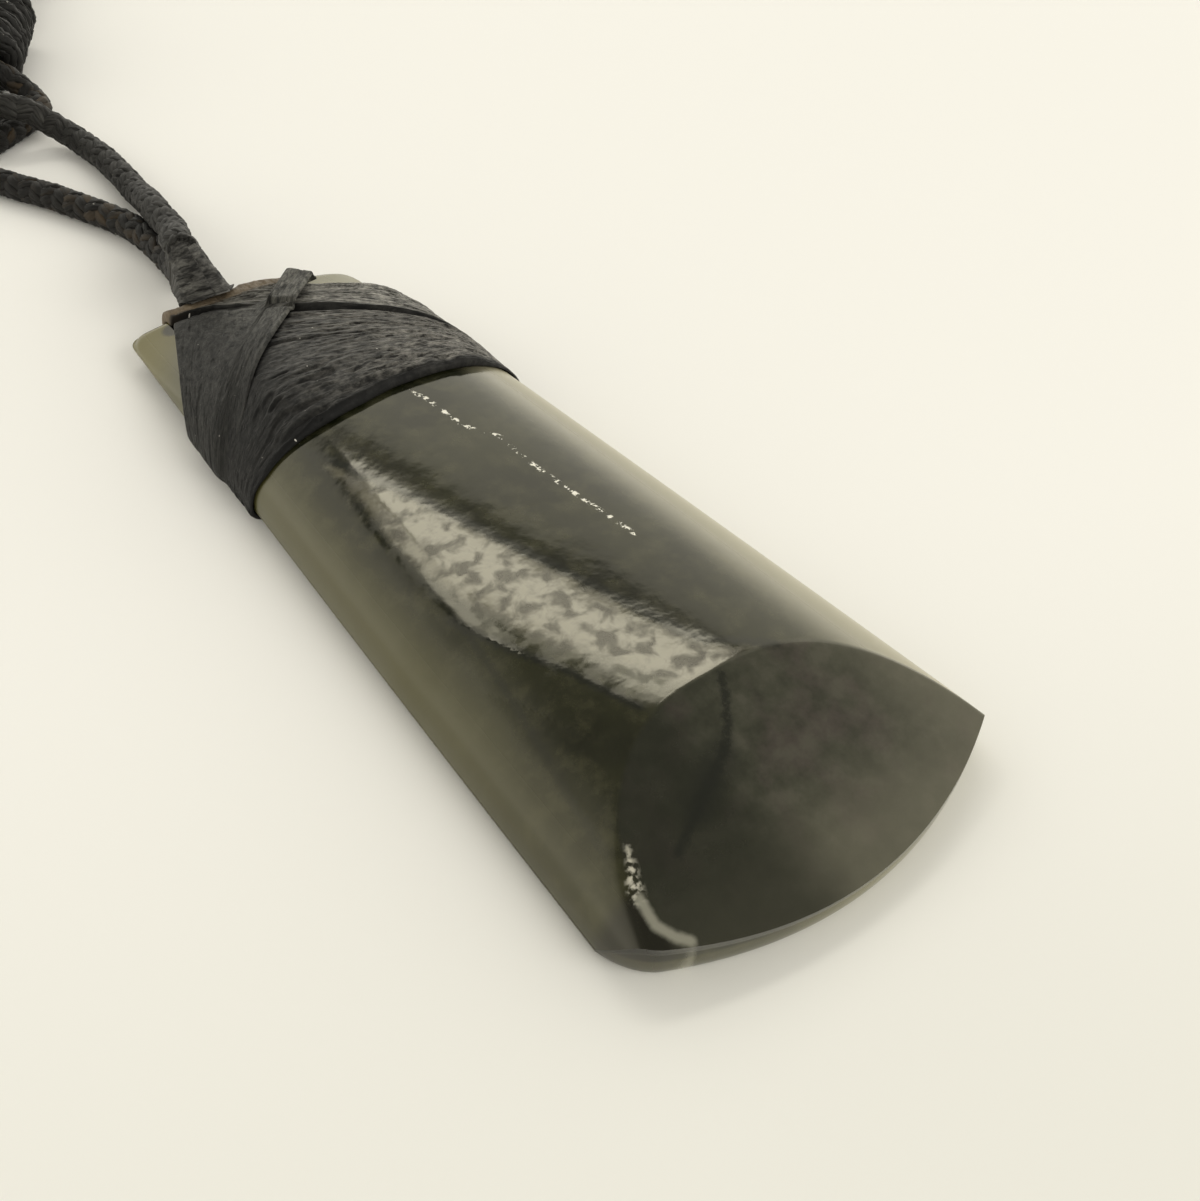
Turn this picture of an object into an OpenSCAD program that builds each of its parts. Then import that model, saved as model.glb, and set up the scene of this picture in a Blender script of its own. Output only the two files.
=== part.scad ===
// Greenstone adze pendant on a braided neck cord, lying on its flat back.
// The stone points along Y, with the cutting edge at the -Y end and the cord at the +Y end.
// The origin is on the surface below the middle of the bound stone and its collar. Millimetres.

/* [Stone] */
// Length of the stone from the cutting edge to the poll
stone_l = 55.6; // [54:0.2:57]
// Width across the cutting edge
blade_w = 22; // [21:0.5:23]
// Width across the poll
poll_w = 15.3; // [15:0.1:16]
// How much each long side swells outward
side_bow = 0.14; // [0:0.02:0.3]
// Height of the domed front near the blade
dome_h = 5.1; // [4.8:0.1:5.4]
// How much the dome falls from the blade to the binding
dome_fall = 0.35; // [0:0.05:0.6]
// Height of the thinned poll
poll_h = 1.9; // [1.7:0.1:2.2]
// How far the poll leans back from left to right, per millimetre of width
poll_skew = 0.08; // [0.05:0.01:0.1]
// How much the poll rises from left to right, per millimetre of width
poll_tilt = 0.05; // [0:0.01:0.06]
// Height of the blunt cutting edge
edge_h = 1.4; // [1:0.1:1.8]
// How far the cutting edge bows outward
edge_bow = 3.1; // [2:0.1:4]
// Slope of the ground bevel in degrees
bevel_angle = 19.2; // [17:0.2:22]
// Radius of the left corner of the blade, seen from above
left_corner_r = 1.6; // [0.6:0.1:2.4]
// Radius of the right corner of the blade, seen from above
right_corner_r = 0.8; // [0.4:0.1:2]
// Radius of the poll's corners, seen from above
poll_corner_r = 1.1; // [0.6:0.1:1.6]

/* [Binding] */
// Distance from the cutting edge to the lower edge of the front band, at the back of the stone
band_low_y = 36.8; // [36.4:0.2:37.2]
// Thickness of the wound bands
band_t = 0.58; // [0.5:0.02:0.6]
// Thickness of the band that crosses over them
cross_t = 0.25; // [0.2:0.05:0.3]
// Width of the dark gap between the front band and the top band
crescent_gap = 0.6; // [0.5:0.1:0.8]

/* [Neck cord] */
// Thickness of the braided cord
cord_d = 2.1; // [1.8:0.1:2.1]
// Width and height of the sliding knots
knot_w = 8.4; // [7.8:0.1:9]
knot_h = 6.3; // [6:0.1:6.8]

/* [Hidden] */

// A point on a long outline with round ends
function stadium(angle, size) =
    [sign(cos(angle)) * (size.x - size.y) / 2 + size.y / 2 * cos(angle), size.y / 2 * sin(angle)];

// The small gap that keeps each piece clear of the next
gap = 0.1;
// Distance from the cutting edge to the origin
origin_y = 29.37;
// Height of the long sides' thin edge, and the radius of the poll's upper edge
side_h = 0.45;
poll_edge_r = 0.9;
// The section's power at the dome and at the poll
dome_power = 2.56;
poll_power = 2.4;
// Where the front begins to fall towards the poll
fall_y = 38;
// The lean that lets the stone rest on its blade and on the band's lower edge
rest_angle = asin((gap + band_t) / band_low_y);

function clamp(v, low, high) = min(max(v, low), high);
function mix(a, b, k) = a + (b - a) * k;
function ease(k) = pow(clamp(k, 0, 1), 2) * (3 - 2 * clamp(k, 0, 1));
// How far a rounded corner of radius r lies inside the square corner, at a distance q from the side
function round_in(q, r) = q < r ? r - sqrt(r * r - pow(r - max(q, 0), 2)) : 0;

// The stone's outline and height. u runs from -1 at the left side to 1 at the right side,
// and grow is a distance outside the stone's own surface.
function half_w(y) =
    mix(blade_w, poll_w, y / stone_l) / 2 + side_bow * 4 * (y / stone_l) * (1 - y / stone_l);
function start_y(u) =
    edge_bow * u * u + round_in((1 - abs(u)) * blade_w / 2, u < 0 ? left_corner_r : right_corner_r);
function end_y(x) = stone_l - poll_skew * x - round_in(poll_w / 2 - abs(x), poll_corner_r);
function towards_poll(y) = ease((y - fall_y) / (stone_l - fall_y));
function dome(u, y) =
    dome_h - dome_fall * y / fall_y
    + (poll_tilt * u * half_w(y) - dome_h + dome_fall + poll_h) * towards_poll(y);
function power(y) = mix(dome_power, poll_power, towards_poll(y));
function front_z(u, y, grow) =
    side_h + (dome(u, y) + grow - side_h) * sqrt(1 - pow(min(abs(u), 1), power(y)));
function surface_z(x, y, grow) =
    front_z(x / (half_w(y) + grow), y, grow) - round_in(end_y(x) + grow - y, poll_edge_r + grow);
function bevel_z(y) = edge_h + tan(bevel_angle) * y;
function arch_y(u) = max(start_y(u) + 0.5, (front_z(u, 0.15 * stone_l, 0) - edge_h) / tan(bevel_angle));

// Columns across the stone lie closer together towards the sides
cross_steps = 24;
columns = [for (i = [0 : cross_steps]) sin(180 * i / cross_steps - 90)];
// Rows are shares of the way up the bevel, and from the bevel's arch to the poll
bevel_rows = [0, 0.33, 0.67];
body_rows = [0, 0.12, 0.28, 0.44, 0.6, 0.68, 0.73, 0.78, 0.83, 0.88, 0.92, 0.96, 0.98, 0.99, 1];
function stone_point(u, y) =
    let (x = u * half_w(y))
    [x, y, min(surface_z(x, y, 0), bevel_z(y))];
stone_rows = concat(
    [for (s = bevel_rows) [for (u = columns) stone_point(u, mix(start_y(u), arch_y(u), s))]],
    [for (s = body_rows) [for (u = columns) stone_point(u, mix(arch_y(u), end_y(u * poll_w / 2), s))]]);
// The flat back is this share of the stone's width and length
back_share = [0.965, 0.99];

// A grid of front points, walls below its rim, and one flat face under it
module domed_block(rows, share) {
    m = len(rows[0]);
    n = len(rows);
    front = [for (row = rows) each row];
    rim = concat(
        [for (j = [0 : m - 1]) j],
        [for (i = [1 : n - 2]) i * m + m - 1],
        [for (j = [m - 1 : -1 : 0]) (n - 1) * m + j],
        [for (i = [n - 2 : -1 : 1]) i * m]);
    edge = len(rim);
    base = [for (k = rim) [front[k].x * share.x, mix(origin_y, front[k].y, share.y), 0]];
    grid = [for (i = [0 : n - 2]) for (j = [0 : m - 2])
        let (a = i * m + j, b = a + m)
        each [[a, b, a + 1], [a + 1, b, b + 1]]];
    walls = [for (k = [0 : edge - 1])
        let (next = (k + 1) % edge)
        each [[rim[k], rim[next], n * m + k], [rim[next], n * m + next, n * m + k]]];
    back = [[for (k = [0 : edge - 1]) n * m + k]];
    polyhedron(concat(front, base), concat(grid, walls, back), convexity = 4);
}

// Skin over rings that all have the same even number of points.
// A closed skin joins its last ring to its first, and an open one gets a cap of strips at both ends.
// The ring's second half runs back under its first, so its cells are split the other way round, and
// a thin wall's two faces stay parallel.
module skin(rings, closed = false) {
    m = len(rings[0]);
    n = len(rings);
    last = closed ? n - 1 : n - 2;
    sides = [for (i = [0 : last]) for (j = [0 : m - 1])
        let (a = i * m, b = (i + 1) % n * m, next = (j + 1) % m)
        each j < m / 2 ? [[a + j, a + next, b + j], [a + next, b + next, b + j]]
                       : [[a + j, a + next, b + next], [a + j, b + next, b + j]]];
    first_cap = [for (j = [0 : m / 2 - 2])
        each [[j, m - 1 - j, j + 1], [j + 1, m - 1 - j, m - 2 - j]]];
    last_cap = [for (face = first_cap) [for (k = [2 : -1 : 0]) (n - 1) * m + face[k]]];
    faces = closed ? sides : concat(sides, first_cap, last_cap);
    polyhedron([for (ring = rings) each ring], faces, convexity = 6);
}

// The binding is modelled on the flat back and then leans with the stone
module laid() {
    translate([0, -origin_y, 0]) rotate([rest_angle, 0, 0]) children();
}

// The crescent's line across the front, as x and y from left to right
crescent = [[-5.2, 54.4], [-4.1, 54.2], [-2.7, 53.6], [-1.5, 52.5], [-0.4, 51.3], [0.7, 49.95], [2.5, 48],
            [4, 46.4], [5.6, 44.9], [6.9, 43.7], [8.4, 42.2], [9.3, 41.3]];
function crescent_y(x) = lookup(x, crescent);
// Where the lower and the upper edge of the top band meet the stone's right side
top_side_x = [9.3, 8.6];
// The front band's lower edge, as x and y
low_edge = [[-9, 36.8], [-8, 36.4], [-4, 36.3], [-2, 36.4], [0, 36.7], [6.5, 36.8], [9, 37.1]];
// Where the front band's left edge meets the stone's side, and how steeply it climbs from there
left_top_y = 44.6;
left_edge_slope = 2.75;
function front_top_y(x) =
    min(crescent_y(x) - crescent_gap / 2, left_top_y + (x + half_w(left_top_y)) * left_edge_slope);
// The front band is thin over the stone's sides, and it tucks down under the top band along the
// crescent. On the right it fills out towards the top band.
side_thin = 0.75;
tuck_thin = 0.6;
tuck_reach = 1.6;
function front_t(u, y) =
    let (filled = u > 0 ? ease((y - 37) / 6) : 0,
         tuck = ease(1 - (crescent_y(u * half_w(y)) - y) / tuck_reach) * ease((0.95 - u) / 0.2))
    band_t * (1 - side_thin * ease((abs(u) - 0.5) / 0.4) * (1 - filled)) * (1 - tuck_thin * tuck);

// The front and top bands are hollow rings round the stone. Each ring is a list of cuts through
// the band, and each cut runs across its outer face and back along its inner face.
under_steps = 8;
front_cut_steps = 7;
function front_point(u, y, outer, under) =
    let (grow = gap + (outer ? (under ? band_t : front_t(u, y)) : 0),
         w = half_w(y) + grow)
    under ? [u * (w - side_h), y, -grow] : [u * w, y, surface_z(u * w, y, grow)];
function front_cut(u, under) =
    let (left_x = -half_w(left_top_y),
         right_x = top_side_x[0],
         high = under ? mix(front_top_y(left_x), front_top_y(right_x), (u + 1) / 2)
                      : front_top_y(abs(u) * (u < 0 ? left_x : right_x)),
         low = under ? band_low_y : lookup(u * half_w(band_low_y), low_edge),
         rows = [for (k = [0 : front_cut_steps]) mix(low, high, k / front_cut_steps)])
    concat(
        [for (y = rows) front_point(u, y, true, under)],
        [for (k = [front_cut_steps : -1 : 0]) front_point(u, rows[k], false, under)]);
front_ring = concat(
    [for (u = columns) front_cut(u, false)],
    [for (i = [under_steps : -1 : 0]) front_cut(2 * i / under_steps - 1, true)]);

// The top band fans out from the right side over the poll's end. Its lower edge follows the crescent,
// and this is its upper edge, as x and y.
top_edge = [[2.8, 54.2], [4.1, 52.5], [5.7, 51.5], [8.6, 51.2]];
top_end_x = [-5.2, 2.8];
// Its thickness at the right side and over the poll's end, from the lower edge to the upper edge
top_side_t = [[0, 0.55], [0.25, 0.62], [0.5, 0.88], [0.85, 0.84], [1, 0.6]];
top_end_t = [[0, 0.75], [0.12, 0.6], [0.5, 0.55], [0.66, 0.62], [0.8, 0.55], [1, 0.25]];
// This share of each thread lies on the front, and the rest bends over the poll's end
over_front = 0.85;
top_cut_steps = 8;
top_steps = 24;
function top_y(k, a) =
    mix(crescent_y(mix(top_side_x[0], top_end_x[0], a)) + crescent_gap / 2,
        lookup(mix(top_side_x[1], top_end_x[1], a), top_edge), k);
function top_point(k, s, outer, under) =
    let (a = min(s / over_front, 1),
         over = max(s - over_front, 0) / (1 - over_front),
         thick = mix(lookup(k, top_side_t), lookup(k, top_end_t), a),
         grow = gap + (outer ? (under ? band_t : thick) : 0),
         x = mix(half_w(top_y(k, 0)) + grow, mix(top_end_x[0], top_end_x[1], k), a),
         y = mix(top_y(k, a), end_y(x) + grow, sin(90 * over)))
    [x, y, under ? -grow : surface_z(x, y, grow)];
function top_cut(s, under) = concat(
    [for (k = [0 : top_cut_steps]) top_point(k / top_cut_steps, s, true, under)],
    [for (k = [top_cut_steps : -1 : 0]) top_point(k / top_cut_steps, s, false, under)]);
top_ring = concat(
    [for (i = [0 : top_steps]) top_cut((1 + cos(180 * i / top_steps)) / 2, false)],
    [for (i = [0 : under_steps]) top_cut(mix(0.03, 1, i / under_steps), true)]);

// The cross band's columns are threads, from left to right. Each starts at the crescent or at the
// poll, ends at the stone's left side and turns down over it. The last three are the ribbon.
threads = [
    // start x, start y, side y
    [-5.3, 54, 45],
    [-4.1, 53.8, 43.9],
    [-2.7, 53.2, 42.8],
    [-1.5, 52.1, 41.7],
    [-0.8, 51.2, 41],
    [-0.4, 50.95, 40.7],
    [1.05, 52.45, 40.55],
    [2.3, 53.75, 40.47],
    [3.2, 54.7, 40.4],
    [3.85, 54.1, 39.6],
    [4.45, 53.5, 38.8]];
cross_rows = [0, 0.05, 0.1, 0.16, 0.24, 0.32, 0.42, 0.54, 0.66, 0.78, 0.88, 0.94, 0.98, 1, 1.4, 1.8];
// The height of the cross band's inner face over the top band and over the poll's end
over_top = 1;
over_poll = 0.3;
// How far past the top band's upper edge the ribbon has come down on the stone
ribbon_drop = 1.2;
// The cross band follows the front band down at the crescent, but stays level beside the ribbon
level_x = -2.6;
level_reach = 1.4;
function cross_grow(x, y) =
    let (below_t = front_t(clamp(x / (half_w(y) + gap + band_t), -1, 1), y),
         on_front = 2 * gap + mix(below_t, band_t, ease((x - level_x) / level_reach)),
         on_top = mix(on_front, over_top, ease(y - crescent_y(x) + 0.5)))
    mix(over_poll, on_top, ease(min(end_y(x) - y - 0.1, lookup(x, top_edge) + ribbon_drop - y)));
function cross_point(thread, s, extra) =
    let (reach = cross_grow(-half_w(thread[2]), thread[2]) + extra,
         x = mix(thread[0], -half_w(thread[2]) - reach, min(s, 1)),
         y = mix(thread[1], thread[2], min(s, 1)),
         down = max(s - 1, 0))
    [x, y, mix(surface_z(x, y, cross_grow(x, y) + extra), -gap - extra, down)];
function cross_cut(s) = concat(
    [for (thread = threads) cross_point(thread, s, cross_t)],
    [for (i = [len(threads) - 1 : -1 : 0]) cross_point(threads[i], s, 0)]);

// The collar is a sleeve of thread round both cords, one above the other. It flares out over the
// bound poll, and its rings lean over as they come down.
collar_rows = [
    // middle x, y, z, width, height, lean in degrees
    [-2.15, 55.75, 1.65, 3.7, 3.7, 55],
    [-2.25, 56.4, 2.15, 3.15, 3.9, 48],
    [-2.35, 57.15, 2.55, 2.7, 4.2, 38],
    [-2.35, 57.9, 2.87, 2.4, 4.3, 20],
    [-2.25, 58.6, 3.1, 2.3, 4.4, 5]];
collar_sides = 24;
collar_grow = 0.82;
function collar_ring(row) =
    [for (i = [0 : collar_sides - 1])
        let (p = stadium(360 * (i + 0.5) / collar_sides, [row[4], row[3]]),
             x = row[0] - p.y,
             y = row[1] - p.x * sin(row[5]))
        [x, y, max(row[2] + p.x * cos(row[5]), surface_z(x, y, collar_grow))]];

// The cords' routes from the collar round to their free ends. Each cord goes out on its own lane,
// turns back, passes both knots and ends beside the crossing.
knot_z = 3.15;
right_route = [
    [-2.25, 29.18, 5.24], [-2, 30.53, 5], [-0.95, 33.23, 3.8], [-0.2, 35.73, 3.2], [0, 38.23, 3.05],
    [0.45, 40.73, 2.7], [1, 43.23, 1.9], [1.5, 46.23, 1.15], [1.8, 49.63, 1.05], [1.9, 53.23, 1.05],
    [1.4, 57.83, 1.2], [0.3, 60.03, 2], [-1.3, 61.03, 3.1], [-3.1, 62.03, 3.4], [-4.8, 63.63, 3.3],
    [-6.3, 66.23, 2.1], [-7.6, 70.23, 1.05], [-8, 76.23, 1.05], [-8, 87.23, 1.05], [-8, 99.23, 1.05],
    [-8, 111.23, 1.05], [-8, 123.23, 1.05],
    [-8, 136.23, 1.05], [-8, 149.23, 1.05], [-6.4, 154.13, 1.05], [-2.3, 157.13, 1.05], [2.9, 157.13, 1.05],
    [7, 154.13, 1.05], [8.6, 149.23, 1.05], [8.6, 137.23, 1.05], [8.6, 125.23, 1.05], [8.6, 115.23, 1.05],
    [8.6, 110.23, 1.9], [8.6, 106.23, 3.1], [8.6, 94.73, 3.15], [7.1, 90.63, 2.8], [4, 85.63, 3.15],
    [-2.4, 72.53, 3.15],
    [-2.1, 70.03, 2.4], [-1.3, 67.63, 1.3], [-2, 65.53, 1.05], [-3.6, 64.43, 1.05], [-6, 63.53, 1.05]];
left_route = [
    [-2.25, 29.38, 3.12], [-1.95, 30.83, 2.7], [-1.2, 33.23, 1.5], [-0.9, 34.83, 1.1], [-0.75, 37.63, 1.05],
    [-0.85, 40.43, 1.05], [-1.3, 42.73, 1.05], [-2.2, 45.23, 1.05], [-3.8, 49.33, 1.05], [-6, 53.83, 1.05],
    [-8.6, 61.23, 1.05], [-10.4, 67.23, 1.05], [-11, 75.23, 1.05], [-11, 87.23, 1.05], [-11, 99.23, 1.05],
    [-11, 111.23, 1.05], [-11, 123.23, 1.05], [-11, 136.23, 1.05], [-11, 149.23, 1.05],
    [-9.5, 154.73, 1.05], [-5.6, 158.63, 1.05], [-0.1, 160.13, 1.05], [5.4, 158.63, 1.05], [9.3, 154.73, 1.05],
    [10.8, 149.23, 1.05], [10.8, 137.23, 1.05], [10.8, 125.23, 1.05], [10.8, 115.23, 1.05], [10.8, 110.23, 1.9],
    [10.8, 106.23, 3.1], [10.8, 94.73, 3.15], [9.1, 89.43, 2.8], [5.9, 84.63, 3.15], [-0.5, 71.53, 3.15],
    [0.75, 68.83, 2.35], [1.6, 66.83, 1.2], [1.2, 64.83, 1.05], [-0.6, 63.23, 1.05], [-2.6, 61.83, 1.05],
    [-5, 60.23, 1.05]];

cord_sides = 8;
function unit(v) = v / norm(v);
function heading(route, i) =
    i == 0 ? [0, 1, 0]
    : unit(route[min(i + 1, len(route) - 1)] - route[i - 1]);
module cord(route) {
    skin([for (i = [0 : len(route) - 1])
        let (along = heading(route, i), side = unit(cross(along, [0, 0, 1])), up = cross(side, along))
        [for (k = [0 : cord_sides - 1])
            let (angle = 360 * (k + 0.5) / cord_sides)
            route[i] + cord_d / 2 * (side * cos(angle) + up * sin(angle))]]);
}

// A sliding knot: wraps of cord round a slot that both cords pass through
knot_sides = 16;
knot_slot = [5.1, 2.7];
groove = 0.92;
near_knot = [[5, 85.23], [-1.5, 71.93]];
far_knot = [[9.7, 106.03], [9.7, 95.03]];
function wrap_scale(k) = k % 2 == 0 ? groove : 1;
module knot(ends) {
    along = unit(concat(ends[1] - ends[0], [0]));
    side = cross(along, [0, 0, 1]);
    steps = 2 * round(norm(ends[1] - ends[0]) / cord_d);
    function place(t, p) = concat(mix(ends[0], ends[1], t), [knot_z]) + side * p.x + [0, 0, p.y];
    skin([for (i = [0 : knot_sides - 1])
        let (angle = -360 * (i + 0.5) / knot_sides)
        concat(
            [for (k = [0 : steps]) place(k / steps, stadium(angle, [knot_w, knot_h]) * wrap_scale(k))],
            [for (k = [steps : -1 : 0]) place(k / steps, stadium(angle, knot_slot))])],
        closed = true);
}

module toki_blade() color("#3c4a34") laid() domed_block(stone_rows, back_share);
module lashing_front_band() color("#2a2826") laid() skin(front_ring, closed = true);
module lashing_top_band() color("#34312e") laid() skin(top_ring, closed = true);
module lashing_cross_band() color("#3a3734") laid() skin([for (s = cross_rows) cross_cut(s)]);
module neck_collar() color("#2d2b28") laid() skin([for (row = collar_rows) collar_ring(row)]);
module neck_cord_left() color("#1f1d1b") cord(left_route);
module neck_cord_right() color("#23211f") cord(right_route);
module slide_knot_near() color("#262422") knot(near_knot);
module slide_knot_far() color("#262422") knot(far_knot);

toki_blade();
lashing_front_band();
lashing_top_band();
lashing_cross_band();
neck_collar();
neck_cord_left();
neck_cord_right();
slide_knot_near();
slide_knot_far();
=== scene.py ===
"""Greenstone adze pendant on a braided neck cord, lying on a pale surface.

Shapes are worked out in millimetres, in the stone's own frame (y = 0 at the cutting edge, flat back
at z = 0) or in the row frame, and are stored in metres.
"""

import math
from math import pi
from types import SimpleNamespace

import bpy
import numpy as np
from mathutils import Matrix, Vector


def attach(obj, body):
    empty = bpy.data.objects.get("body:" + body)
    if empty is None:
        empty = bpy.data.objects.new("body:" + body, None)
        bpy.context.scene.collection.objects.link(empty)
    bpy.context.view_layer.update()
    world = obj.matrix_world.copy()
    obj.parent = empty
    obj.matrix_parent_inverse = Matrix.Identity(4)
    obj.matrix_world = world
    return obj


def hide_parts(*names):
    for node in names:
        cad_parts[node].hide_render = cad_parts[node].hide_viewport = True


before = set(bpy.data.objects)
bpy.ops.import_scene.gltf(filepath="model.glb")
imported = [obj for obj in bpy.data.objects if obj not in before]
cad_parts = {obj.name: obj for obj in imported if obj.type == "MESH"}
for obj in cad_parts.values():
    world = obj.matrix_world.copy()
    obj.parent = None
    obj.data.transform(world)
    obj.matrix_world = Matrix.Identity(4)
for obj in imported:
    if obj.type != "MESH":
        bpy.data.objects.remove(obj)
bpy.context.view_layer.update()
BODY = "root"
MM = 0.001

# Camera: the photograph's view, in the row frame
CAMERA_AT = (-29.29, -46.37, 45.98)
CAMERA_FORWARD = (0.4692, 0.5626, -0.6807)
CAMERA_UP = (0.4048, 0.5480, 0.7320)
LENS_MM = 39.11
SENSOR_MM = 36.0
CAMERA_CLIP = (0.002, 20.0)

# Stone
STONE_L = 55.6
BLADE_W = 22.0
POLL_W = 15.3
SIDE_BOW = 0.14
DOME_H = 5.1
DOME_FALL = 0.35
POLL_H = 1.9
POLL_SKEW = 0.08
POLL_TILT = 0.05
EDGE_H = 1.4
EDGE_BOW = 3.1
BEVEL_TAN = math.tan(math.radians(19.2))
LEFT_CORNER_R = 1.6
RIGHT_CORNER_R = 0.8
POLL_CORNER_R = 1.1
POLL_EDGE_R = 0.9
SIDE_H = 0.45
DOME_POWER = 2.56
POLL_POWER = 2.4
FALL_Y = 38.0
BACK_SHARE = (0.965, 0.99)
ARCH_GUESS_Y = 8.0
ARCH_STEPS = 12
ARCH_LEAST = 0.5
# The bevel's upper edge is sharp, and worn round at the left corner
CREASE = 0.05
WORN_CREASE = 0.35

# Binding. Lines across the front are x and y, from left to right.
GAP = 0.1
BAND_LOW_Y = 36.8
BAND_T = 0.58
SIDE_THIN = 0.75
TUCK_THIN = 0.6
TUCK_REACH = 1.6
TUCK_END_U = (0.95, 0.75)
SIDE_THIN_U = (0.5, 0.9)
FILL_Y = (37.0, 43.0)
CROSS_T = 0.25
CROSS_SIDE_THIN = 0.7
CROSS_TUCK = 0.2
CROSS_TUCK_THIN = 0.8
CRESCENT_GAP = 0.6
CRESCENT = ((-5.2, 54.4), (-4.1, 54.2), (-2.7, 53.6), (-1.5, 52.5), (-0.4, 51.3), (0.7, 49.95), (2.5, 48),
            (4, 46.4), (5.6, 44.9), (6.9, 43.7), (8.4, 42.2), (9.3, 41.3))
LOW_EDGE = ((-9, 36.8), (-8, 36.4), (-4, 36.3), (-2, 36.4), (0, 36.7), (6.5, 36.8), (9, 37.1))
TOP_EDGE = ((2.8, 54.2), (4.1, 52.5), (5.7, 51.5), (8.6, 51.2))
LEFT_TOP_Y = 44.6
LEFT_EDGE_SLOPE = 2.75
TOP_SIDE_X = (9.3, 8.6)
TOP_END_X = (-5.2, 2.8)
# The top band's thickness from its lower to its upper edge, at the right side and over the poll's end
TOP_SIDE_T = ((0, 0.55), (0.25, 0.62), (0.5, 0.88), (0.85, 0.84), (1, 0.6))
TOP_END_T = ((0, 0.75), (0.12, 0.6), (0.5, 0.55), (0.66, 0.62), (0.8, 0.55), (1, 0.25))
OVER_FRONT = 0.85
# The cross band's threads from left to right: place across the band, start x, start y, side y.
# Those past RIBBON_FROM belong to the ribbon that crosses the top band.
CROSS_THREADS = ((0, -5.3, 54, 45), (0.16, -4.1, 53.8, 43.9), (0.34, -2.7, 53.2, 42.8),
                 (0.5, -1.5, 52.1, 41.7), (0.6, -0.8, 51.2, 41), (0.65, -0.4, 50.95, 40.7),
                 (0.665, 1.05, 52.45, 40.55), (0.68, 2.3, 53.75, 40.47), (0.7, 3.2, 54.7, 40.4),
                 (0.85, 3.85, 54.1, 39.6), (1, 4.45, 53.5, 38.8))
RIBBON_FROM = 0.6
OVER_TOP = 1.0
OVER_POLL = 0.3
RIBBON_DROP = 1.2
# The collar's rings from its base: middle x, y, z, width, height, lean in degrees
COLLAR_ROWS = ((-2.15, 55.75, 1.65, 3.7, 3.7, 55), (-2.25, 56.4, 2.15, 3.15, 3.9, 48),
               (-2.35, 57.15, 2.55, 2.7, 4.2, 38), (-2.35, 57.9, 2.87, 2.4, 4.3, 20),
               (-2.25, 58.6, 3.1, 2.3, 4.4, 5))
COLLAR_GROW = 0.82

# The stone leans on its blade and on the band's lower edge
ORIGIN_Y = 29.37
REST_ANGLE = math.asin((GAP + BAND_T) / BAND_LOW_Y)

# Neck cord
CORD_D = 2.1
RIGHT_ROUTE = (
    (-2.25, 29.18, 5.24), (-2, 30.53, 5), (-0.95, 33.23, 3.8), (-0.2, 35.73, 3.2), (0, 38.23, 3.05),
    (0.45, 40.73, 2.7), (1, 43.23, 1.9), (1.5, 46.23, 1.15), (1.8, 49.63, 1.05), (1.9, 53.23, 1.05),
    (1.4, 57.83, 1.2), (0.3, 60.03, 2), (-1.3, 61.03, 3.1), (-3.1, 62.03, 3.4), (-4.8, 63.63, 3.3),
    (-6.3, 66.23, 2.1), (-7.6, 70.23, 1.05), (-8, 76.23, 1.05), (-8, 87.23, 1.05), (-8, 99.23, 1.05),
    (-8, 111.23, 1.05), (-8, 123.23, 1.05), (-8, 136.23, 1.05), (-8, 149.23, 1.05), (-6.4, 154.13, 1.05),
    (-2.3, 157.13, 1.05), (2.9, 157.13, 1.05), (7, 154.13, 1.05), (8.6, 149.23, 1.05), (8.6, 137.23, 1.05),
    (8.6, 125.23, 1.05), (8.6, 115.23, 1.05), (8.6, 110.23, 1.9), (8.6, 106.23, 3.1), (8.6, 94.73, 3.15),
    (7.1, 90.63, 2.8), (4, 85.63, 3.15), (-2.4, 72.53, 3.15), (-2.1, 70.03, 2.4), (-1.3, 67.63, 1.3),
    (-2, 65.53, 1.05), (-3.6, 64.43, 1.05), (-6, 63.53, 1.05))
LEFT_ROUTE = (
    (-2.25, 29.38, 3.12), (-1.95, 30.83, 2.7), (-1.2, 33.23, 1.5), (-0.9, 34.83, 1.1), (-0.75, 37.63, 1.05),
    (-0.85, 40.43, 1.05), (-1.3, 42.73, 1.05), (-2.2, 45.23, 1.05), (-3.8, 49.33, 1.05), (-6, 53.83, 1.05),
    (-8.6, 61.23, 1.05), (-10.4, 67.23, 1.05), (-11, 75.23, 1.05), (-11, 87.23, 1.05), (-11, 99.23, 1.05),
    (-11, 111.23, 1.05), (-11, 123.23, 1.05), (-11, 136.23, 1.05), (-11, 149.23, 1.05), (-9.5, 154.73, 1.05),
    (-5.6, 158.63, 1.05), (-0.1, 160.13, 1.05), (5.4, 158.63, 1.05), (9.3, 154.73, 1.05),
    (10.8, 149.23, 1.05), (10.8, 137.23, 1.05), (10.8, 125.23, 1.05), (10.8, 115.23, 1.05),
    (10.8, 110.23, 1.9), (10.8, 106.23, 3.1), (10.8, 94.73, 3.15), (9.1, 89.43, 2.8), (5.9, 84.63, 3.15),
    (-0.5, 71.53, 3.15), (0.75, 68.83, 2.35), (1.6, 66.83, 1.2), (1.2, 64.83, 1.05), (-0.6, 63.23, 1.05),
    (-2.6, 61.83, 1.05), (-5, 60.23, 1.05))

# Sliding knots
KNOT_W = 8.4
KNOT_H = 6.3
KNOT_Z = 3.15
NEAR_KNOT = ((5.0, 85.23), (-1.5, 71.93))
FAR_KNOT = ((9.7, 106.03), (9.7, 95.03))


def mix(a, b, k):
    return a + (b - a) * k


def ease(k):
    k = np.clip(k, 0.0, 1.0)
    return k * k * (3.0 - 2.0 * k)


def step_between(low, high, v):
    return ease((np.asarray(v, float) - low) / (high - low))


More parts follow.
